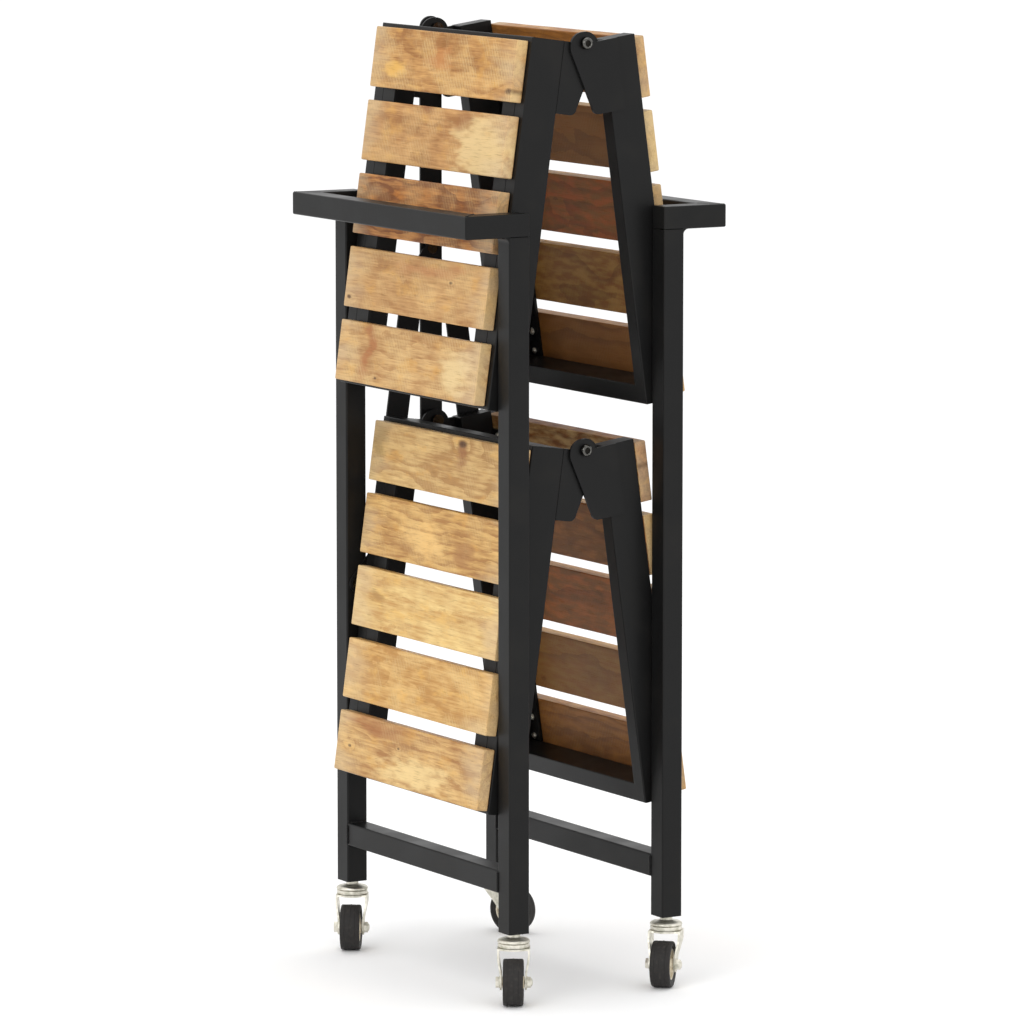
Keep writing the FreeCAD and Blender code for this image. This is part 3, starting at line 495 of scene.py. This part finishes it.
def weld_bead(start, end):
    """A rippled bead of weld laid from start to end."""
    steel = bpy.context.scene.trolley_steel
    way = end - start
    bm = bmesh.new()
    bmesh.ops.create_cone(bm, cap_ends=True, segments=10, radius1=steel.bead,
                          radius2=steel.bead, depth=way.length)
    lines = [edge for edge in bm.edges if edge.calc_length() > 0.9 * way.length]
    ripples = max(2, round(way.length / steel.ripple))
    bmesh.ops.subdivide_edges(bm, edges=lines, cuts=4 * ripples, use_grid_fill=True)
    for vert in bm.verts:
        swell = 1 + 0.2 * math.sin(vert.co.z / steel.ripple * math.tau)
        vert.co.xy *= swell
    turn = Vector((0, 0, 1)).rotation_difference(way).to_matrix().to_4x4()
    bmesh.ops.transform(bm, matrix=Matrix.Translation((start + end) / 2) @ turn, verts=bm.verts)
    return bm


def placed(bm, matrix):
    """The shape moved by a matrix."""
    bmesh.ops.transform(bm, matrix=matrix, verts=bm.verts)
    return bm


def piece(name, shapes, body, material, replaces=()):
    """One object of all the shapes, which rides on a body and takes the given material."""
    whole = bmesh.new()
    for bm in shapes:
        part = bpy.data.meshes.new("part")
        bm.to_mesh(part)
        bm.free()
        whole.from_mesh(part)
        bpy.data.meshes.remove(part)
    for face in whole.faces:
        face.smooth = True
    mesh = bpy.data.meshes.new(name)
    whole.to_mesh(mesh)
    whole.free()
    mesh.set_sharp_from_angle(angle=CREVICE_ANGLE)
    mesh.materials.append(material)
    made = bpy.data.objects.new(name, mesh)
    bpy.context.scene.collection.objects.link(made)
    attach(made, body)
    if replaces:
        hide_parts(*replaces)
    return made


def finish_nodes(slot, material):
    """Give every CAD node of a slot its material."""
    for sub in frame["record"]["subparts"]:
        if sub["material_slot"] == slot:
            for holder in frame["nodes"][sub["node"]].material_slots:
                holder.material = material


# ------------------------------------------------------------------ slats
# Every board is given one by one: colours, ring spacing, where the pith lies behind it,
# how strong its figure is, saw marks, gloss, any knots (along, across, radius) and any
# stains (colour, along, across, half length, half width). Lengths are in millimetres
# from the board's middle: along runs to the back, across towards the ridge when folded.
# The back colour of each board is painted shade: the darker brown of its underside.
PLAIN_BOARD = {"pale": "#d6ac6d", "deep": "#a57640", "glow": "#d39e4f", "back": "#9d652c",
               "scrape": "#d9bd86", "ring": 11, "pith": (48, 12), "sway": 26, "figure": 0.32,
               "saw": 0.5, "gloss": 0.44, "knots": (), "stains": ()}
BOARDS = {
    "upper_left_1": {"pale": "#d3a261", "deep": "#9a6834", "ring": 13, "saw": 0.95,
                     "pith": (40, 20), "knots": ((-146, -22, 4),),
                     "stains": (("#b87940", 0, 4, 30, 14), ("#ddac56", 95, -12, 30, 12))},
    "upper_left_2": {"pale": "#cf9e63", "deep": "#9d6c3a", "ring": 16, "saw": 0.7,
                     "pith": (60, -24),
                     "stains": (("#e0c48d", -105, -6, 62, 40), ("#8b5830", 26, 30, 24, 12),
                                ("#9a6739", -62, 20, 16, 14))},
    "upper_left_3": {"pale": "#c88c4d", "deep": "#814d25", "ring": 8, "sway": 44, "figure": 0.6,
                     "pith": (34, 4), "glow": "#d48534", "back": "#8b4b20"},
    "upper_left_4": {"pale": "#d3a86e", "deep": "#a47645", "ring": 18, "figure": 0.28,
                     "saw": 0.6, "knots": ((-72, 10, 1.9), (141, -22, 2.4)),
                     "stains": (("#b67d4d", -30, 22, 80, 9),)},
    "upper_left_5": {"pale": "#d5ae75", "deep": "#a57847", "ring": 10, "pith": (30, 38),
                     "saw": 0.8, "knots": ((62, -24, 1.6),),
                     "stains": (("#a36639", 88, 6, 12, 32), ("#dfc490", -110, -4, 40, 26))},
    "lower_left_1": {"pale": "#dcb97c", "deep": "#aa804c", "ring": 12, "sway": 40,
                     "pith": (42, 22), "figure": 0.5, "knots": ((-38, 26, 5),),
                     "stains": (("#915d36", -42, 14, 14, 18), ("#9a7c4c", 142, 10, 22, 26))},
    "lower_left_2": {"pale": "#d9af6b", "deep": "#a47641", "ring": 9, "pith": (26, 60),
                     "sway": 34, "figure": 0.42,
                     "stains": (("#e8bd77", 20, -6, 50, 20), ("#a17243", -70, -14, 20, 14))},
    "lower_left_3": {"pale": "#e7c886", "deep": "#bd9053", "ring": 14, "pith": (52, -30),
                     "glow": "#e3b664", "stains": (("#a57b43", 112, 8, 20, 6),)},
    "lower_left_4": {"pale": "#e1b977", "deep": "#b58547", "ring": 15, "pith": (64, 10),
                     "saw": 0.8, "glow": "#dfac56"},
    "lower_left_5": {"pale": "#dbb374", "deep": "#a37443", "ring": 10, "pith": (36, -28),
                     "figure": 0.4, "knots": ((128, -4, 1.8), (22, 8, 1.5)),
                     "stains": (("#9e6639", 60, 28, 80, 12), ("#e8cb8f", -20, -16, 90, 18))},
    "upper_right_1": {"pale": "#c18f52", "deep": "#89572d", "ring": 7, "sway": 36},
    "upper_right_2": {"pale": "#d6b87f", "deep": "#b08e5b", "back": "#8b5828"},
    "upper_right_3": {"pale": "#c09259", "deep": "#895c34", "ring": 9, "back": "#a95925"},
    "upper_right_4": {"pale": "#dcb370", "deep": "#ad7e43", "ring": 14, "back": "#a3783b",
                      "knots": ((-30, 10, 6),), "stains": (("#794724", -30, 6, 24, 14),)},
    "upper_right_5": {"pale": "#cc9859", "deep": "#946334", "ring": 12, "back": "#8e5c2c"},
    "lower_right_1": {"back": "#c2a06c", "pale": "#bd8559", "deep": "#7d4b2d", "ring": 8, "sway": 40,
                      "knots": ((-150, 6, 5), (30, -12, 4))},
    "lower_right_2": {"pale": "#dcb878", "deep": "#b3874c", "back": "#ab6a31"},
    "lower_right_3": {"pale": "#d2a165", "deep": "#9f6f3c", "ring": 16, "back": "#ae6227"},
    "lower_right_4": {"pale": "#ddb575", "deep": "#b6874a", "ring": 12, "back": "#8e642f"},
    "lower_right_5": {"pale": "#d09c5d", "deep": "#976635", "ring": 9, "saw": 0.8},
}


def board_shape(size, seed):
    """A board round the origin: X outwards, Y along it. Its edges wander and are eased."""
    wood = bpy.context.scene.trolley_boards
    bm = block(size)
    lines = [edge for edge in bm.edges if edge.calc_length() > 0.9 * size.y]
    bmesh.ops.subdivide_edges(bm, edges=lines, cuts=30, use_grid_fill=True)
    for vert in bm.verts:
        corner = 10 * seed + 3 * (vert.co.x > 0) + (vert.co.z > 0)
        dip = wood.edge_wave * (0.5 + 0.5 * noise.noise(Vector((corner, 18 * vert.co.y, 0))))
        vert.co.z -= math.copysign(dip, vert.co.z)
        if vert.co.x > 0:
            vert.co.x -= 0.7 * dip
    return soften(bm, wood.edge_round)


class TROLLEY_OT_slats(bpy.types.Operator):
    """Replace the twenty plain slats with eased mango boards, each with its own figure"""

    bl_idname = "trolley.slats"
    bl_label = "Slats"

    def execute(self, context):
        seed = 0
        for tier in TIERS:
            for side, out in SIDES.items():
                turn = -LEAN if out > 0 else math.pi + LEAN
                for number in range(1, 6):
                    seed += 1
                    half = f"{tier}_{side}"
                    node = f"{half}_slat_{number}"
                    low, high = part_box(node)
                    extent = high - low
                    even = math.cos(LEAN) ** 2 - math.sin(LEAN) ** 2
                    thick = (extent.x * math.cos(LEAN) - extent.z * math.sin(LEAN)) / even
                    wide = (extent.z * math.cos(LEAN) - extent.x * math.sin(LEAN)) / even
                    centre = (low + high) / 2
                    board = {**PLAIN_BOARD, **BOARDS[f"{half}_{number}"]}
                    wood = mango_board(f"{half}_{number}", board, centre, turn, out, thick, seed)
                    shape = board_shape(Vector((thick, extent.y, wide)), seed)
                    matrix = Matrix.Translation(centre) @ Matrix.Rotation(turn, 4, "Y")
                    made = piece(f"{half}_board_{number}", [placed(shape, matrix)],
                                 f"{half}_half", wood, [node])
                    made.modifiers.new("flat_faces", "WEIGHTED_NORMAL").keep_sharp = True
        return {"FINISHED"}


# ------------------------------------------------------------------ steel
class TROLLEY_OT_steel(bpy.types.Operator):
    """Paint the steel frames and lay the weld beads that show"""

    bl_idname = "trolley.steel"
    bl_label = "Steel frames"

    def execute(self, context):
        paint = shared(powder_coat)
        finish_nodes("black_paint", paint)
        bead = context.scene.trolley_steel.bead
        for side, out in SIDES.items():
            beads = []
            low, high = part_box(f"{side}_cross_rail")
            inset = 2 * MM
            for y in (low.y, high.y):
                for x in (low.x, high.x):
                    beads.append(weld_bead(Vector((x, y, low.z + inset)),
                                           Vector((x, y, high.z - inset))))
                for z in (low.z, high.z):
                    beads.append(weld_bead(Vector((low.x + inset, y, z)),
                                           Vector((high.x - inset, y, z))))
            piece(f"{side}_cross_rail_welds", beads, f"{side}_end_frame", paint)

            # Ground mitres at the outer corners of the handle: a seam just proud of the tube.
            low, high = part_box(f"{side}_handle")
            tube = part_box(f"{side}_cross_rail")[1].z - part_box(f"{side}_cross_rail")[0].z
            outer_x = high.x if out > 0 else low.x
            seams = []
            sink = 0.8 * bead
            for y, inward in ((low.y, 1), (high.y, -1)):
                corner = Vector((outer_x - out * inset, y + inward * inset, high.z - sink))
                inner = Vector((outer_x - out * (tube - inset), y + inward * (tube - inset),
                                high.z - sink))
                seams.append(weld_bead(corner, inner))
            piece(f"{side}_handle_seams", seams, f"{side}_end_frame", paint)
        return {"FINISHED"}


# ------------------------------------------------------------------ bolts
def facing(way, spot):
    """A place at spot whose Z looks along way."""
    turn = Vector((0, 0, 1)).rotation_difference(Vector(way)).to_matrix().to_4x4()
    return Matrix.Translation(spot) @ turn


class TROLLEY_OT_bolts(bpy.types.Operator):
    """Finish the ridge bolts with bright socket heads and put hexagon nuts on the pins"""

    bl_idname = "trolley.bolts"
    bl_label = "Bolts"

    def execute(self, context):
        bright, dark, zinc = shared(bright_plate), shared(shaded_socket_floor), shared(zinc_plate)
        finish_nodes("bolts", bright)
        rim = [(3.3, -1.0), (3.3, 0.7), (3.7, 1.15), (4.6, 1.25), (5.6, 0.6), (6.3, -0.6),
               (6.6, -2.0), (6.6, -4.2), (5.0, -4.4)]
        for tier in TIERS:
            low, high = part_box(f"{tier}_ridge_bolts")
            joint = Vector(JOINTS[f"{tier}_ridge"]["pos_m"])
            rims, floors, nuts = [], [], []
            for y, way in ((low.y, (0, -1, 0)), (high.y, (0, 1, 0))):
                head = Vector((joint.x, y, joint.z))
                rims.append(placed(turned(rim, closed=True), facing(way, head)))
                # A thin dark hexagon in each rim is painted shade for the hole of the socket.
                socket = hexagon(6.2 * MM, 0.12 * MM)
                floors.append(placed(socket, facing(way, head)))
            piece(f"{tier}_ridge_bolt_rims", rims, f"{tier}_left_half", bright)
            piece(f"{tier}_ridge_bolt_painted_shades", floors, f"{tier}_left_half", dark)
        low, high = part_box("link_pins")
        nut_tall = high.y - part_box("centre_link")[1].y
        width = 14.2 * MM
        for z in (high.z - width / 2, low.z + width / 2):
            seat = Vector((0, high.y - nut_tall, z))
            nuts.append(placed(hexagon(width, nut_tall + 0.1 * MM), facing((0, 1, 0), seat)))
        piece("link_pin_nuts", nuts, "link", zinc)
        return {"FINISHED"}


# ------------------------------------------------------------------ casters
def caster_cap():
    """Fixed cap with its neck, the kingpin below and the stem above, on the floor's Z."""
    return turned([(0, 56.6), (4.7, 56.6), (5.5, 58.2), (3.5, 58.2), (3.5, 66), (16.9, 66),
                   (17.5, 66.3), (17.7, 66.9), (17.5, 67.9), (16.8, 68.8), (15.4, 69.5),
                   (13.0, 70.1), (10.2, 70.5), (8.0, 70.9), (7.1, 71.6), (6.8, 72.6), (6.8, 76),
                   (5, 76), (5, 100), (0, 100)])


def caster_race():
    """Rolled ring of the ball race under the cap."""
    return turned([(14, 60.6), (16.2, 60.7), (16.9, 61.1), (17.2, 61.9), (17.2, 64.5),
                   (16.9, 65.2), (16.2, 65.6), (14, 65.6)], closed=True)


def caster_tyre():
    """Rubber tyre, axle along Z: eased shoulders, a wall groove and the mould's parting line."""
    half = [(17.0, 9.4), (18.2, 10.5), (19.6, 10.8), (20.0, 10.4), (20.5, 10.4), (20.9, 10.9),
            (23.2, 11.0), (24.3, 10.8), (24.9, 10.2), (25.15, 9.3), (25.2, 6.2), (24.95, 6.0),
            (24.95, 5.6), (25.2, 5.4), (25.25, 0.7), (25.5, 0.45)]
    return turned(half + [(radius, -height) for radius, height in reversed(half)], closed=True)


def caster_hub():
    """Moulded wheel centre, axle along Z: boss, dished web, rim and six ribs a side."""
    half = [(3.08, 12.0), (5.8, 12.0), (6.6, 11.3), (7.0, 6.8), (8.2, 5.9), (14.0, 5.9),
            (14.9, 6.8), (15.2, 9.4), (17.05, 9.5)]
    shapes = [turned(half + [(radius, -height) for radius, height in reversed(half)], closed=True)]
    for number in range(6):
        for face in (-1, 1):
            rib = soften(block(Vector((9.0, 1.5, 3.4)) * MM), 0.3 * MM, 2)
            spot = Matrix.Translation(Vector((10.8, 0, face * 7.0)) * MM)
            shapes.append(placed(rib, Matrix.Rotation(number * math.tau / 6, 4, "Z") @ spot))
    return shapes


def caster_axle(seat):
    """Axle bolt along Z: hexagon head at one end, domed nut at the other, washers under both."""
    shapes = [turned([(0, -seat - 1), (3.0, -seat - 1), (3.0, seat + 1), (0, seat + 1)])]
    for face in (-1, 1):
        flip = Matrix.Rotation(0 if face > 0 else math.pi, 4, "X")
        washer = turned([(0, seat - 0.05), (6.3, seat - 0.05), (6.6, seat + 0.3),
                         (6.3, seat + 0.8), (0, seat + 0.8)])
        head = hexagon(10.6 * MM, 3.7 * MM)
        shapes.append(placed(washer, flip))
        shapes.append(placed(head, flip @ Matrix.Translation((0, 0, (seat + 0.8) * MM))))
    dome = turned([(0, seat + 3.9), (4.6, seat + 3.9), (4.4, seat + 4.9), (3.6, seat + 5.7),
                   (2.0, seat + 6.2), (0, seat + 6.3)])
    return shapes + [dome]


class TROLLEY_OT_casters(bpy.types.Operator):
    """Build the swivel caps, races, tyres, hubs, axle bolts and leg plugs"""

    bl_idname = "trolley.casters"
    bl_label = "Casters"

    def execute(self, context):
        zinc = shared(zinc_plate)
        finish_nodes("zinc_steel", zinc)
        fork_foot = 29
        for side in SIDES:
            caps, plugs = [], []
            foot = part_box(f"{side}_legs")[0].z
            for end in ENDS:
                corner = f"{end}_{side}"
                swivel = Vector(JOINTS[f"{corner}_swivel"]["pos_m"])
                roll = JOINTS[f"{corner}_roll"]
                stand = Matrix.Translation((swivel.x, swivel.y, 0))
                axle = facing(roll["axis"], Vector(roll["pos_m"]))
                caps.append(placed(caster_cap(), stand))
                plug = soften(block(Vector((21.8, 21.8, 19)) * MM), 0.8 * MM)
                up = Matrix.Translation((0, 0, foot + 9.7 * MM))
                plugs.append(placed(plug, stand @ up))
                piece(f"{corner}_race_ring", [placed(caster_race(), stand)],
                      f"{corner}_caster", zinc)
                piece(f"{corner}_axle_bolt",
                      [placed(shape, axle) for shape in caster_axle(fork_foot / 2)],
                      f"{corner}_caster", zinc, [f"{corner}_axle"])
                piece(f"{corner}_rubber_tyre", [placed(caster_tyre(), axle)],
                      f"{corner}_wheel", shared(tyre_rubber), [f"{corner}_tyre"])
                piece(f"{corner}_wheel_centre", [placed(shape, axle) for shape in caster_hub()],
                      f"{corner}_wheel", shared(hub_nylon), [f"{corner}_hub"])
            piece(f"{side}_swivel_caps", caps, f"{side}_end_frame", zinc,
                  [f"{side}_caster_stems"])
            piece(f"{side}_leg_plugs", plugs, f"{side}_end_frame",
                  shared(plug_plastic))
        return {"FINISHED"}


# ------------------------------------------------------------------ stage
def soft_light(name, spot, size, power, aim):
    """A square softbox at spot that points at aim."""
    lamp = bpy.data.lights.new(name, "AREA")
    lamp.shape = "SQUARE"
    lamp.size = size
    lamp.energy = power
    made = bpy.data.objects.new(name, lamp)
    made.location = spot
    made.rotation_euler = (Vector(aim) - Vector(spot)).to_track_quat("-Z", "Y").to_euler()
    bpy.context.scene.collection.objects.link(made)


class TROLLEY_OT_stage(bpy.types.Operator):
    """Set a pale floor, soft studio light and the camera"""

    bl_idname = "trolley.stage"
    bl_label = "Stage"

    def execute(self, context):
        stage = context.scene.trolley_stage
        bm = bmesh.new()
        bmesh.ops.create_circle(bm, cap_ends=True, segments=64, radius=60)
        mesh = bpy.data.meshes.new("studio_floor")
        bm.to_mesh(mesh)
        bm.free()
        mesh.materials.append(shared(floor_paper))
        floor = bpy.data.objects.new("studio_floor", mesh)
        context.scene.collection.objects.link(floor)

        world = bpy.data.worlds.new("studio")
        world.use_nodes = True
        sky = world.node_tree.nodes["Background"]
        sky.inputs["Color"].default_value = linear("#ffffff")
        sky.inputs["Strength"].default_value = 1.06
        context.scene.world = world
        middle = (0, 0, 0.55)
        soft_light("key_softbox", (-3.2, -1.6, 2.4), 2.0, 26, middle)
        soft_light("front_softbox", (0.9, -4.2, 1.8), 2.2, 12, middle)
        soft_light("top_softbox", (0.2, 0.3, 3.4), 2.4, 16, middle)

        lens = bpy.data.cameras.new("camera")
        lens.lens = stage.lens
        lens.sensor_width = 36
        lens.clip_end = 200
        camera = bpy.data.objects.new("camera", lens)
        flat = math.cos(stage.elevation)
        look = Vector((-math.sin(stage.azimuth) * flat, math.cos(stage.azimuth) * flat,
                       -math.sin(stage.elevation)))
        camera.location = Vector((0, 0, stage.aim_height)) - look * stage.distance
        camera.rotation_euler = look.to_track_quat("-Z", "Y").to_euler()
        context.scene.collection.objects.link(camera)
        context.scene.camera = camera
        context.scene.view_settings.view_transform = "Standard"
        return {"FINISHED"}


class TROLLEY_PT_panel(bpy.types.Panel):
    """Settings and steps of the trolley."""

    bl_label = "Folding trolley"
    bl_idname = "TROLLEY_PT_panel"
    bl_space_type = "VIEW_3D"
    bl_region_type = "UI"
    bl_category = "Trolley"

    def draw(self, context):
        for name, step in STEPS:
            group = getattr(context.scene, name)
            column = self.layout.column(align=True)
            column.operator(step.bl_idname)
            for setting in group.bl_rna.properties:
                if setting.identifier not in ("rna_type", "name"):
                    column.prop(group, setting.identifier)


STEPS = (
    ("trolley_boards", TROLLEY_OT_slats),
    ("trolley_steel", TROLLEY_OT_steel),
    ("trolley_fittings", TROLLEY_OT_bolts),
    ("trolley_fittings", TROLLEY_OT_casters),
    ("trolley_stage", TROLLEY_OT_stage),
)
GROUPS = {
    "trolley_boards": BoardSettings,
    "trolley_steel": SteelSettings,
    "trolley_fittings": FittingSettings,
    "trolley_stage": StageSettings,
}
CLASSES = (*GROUPS.values(), *(step for _, step in STEPS), TROLLEY_PT_panel)


def register():
    """Register the classes and hang their settings on the scene."""
    for made in CLASSES:
        bpy.utils.register_class(made)
    for name, group in GROUPS.items():
        setattr(bpy.types.Scene, name, PointerProperty(type=group))


def unregister():
    """Take the settings and the classes away again."""
    for name in GROUPS:
        delattr(bpy.types.Scene, name)
    for made in reversed(CLASSES):
        bpy.utils.unregister_class(made)


def main():
    """Build every piece and the stage."""
    register()
    bpy.ops.trolley.slats()
    bpy.ops.trolley.steel()
    bpy.ops.trolley.bolts()
    bpy.ops.trolley.casters()
    bpy.ops.trolley.stage()
    bpy.context.view_layer.update()


if __name__ == "__main__":
    main()
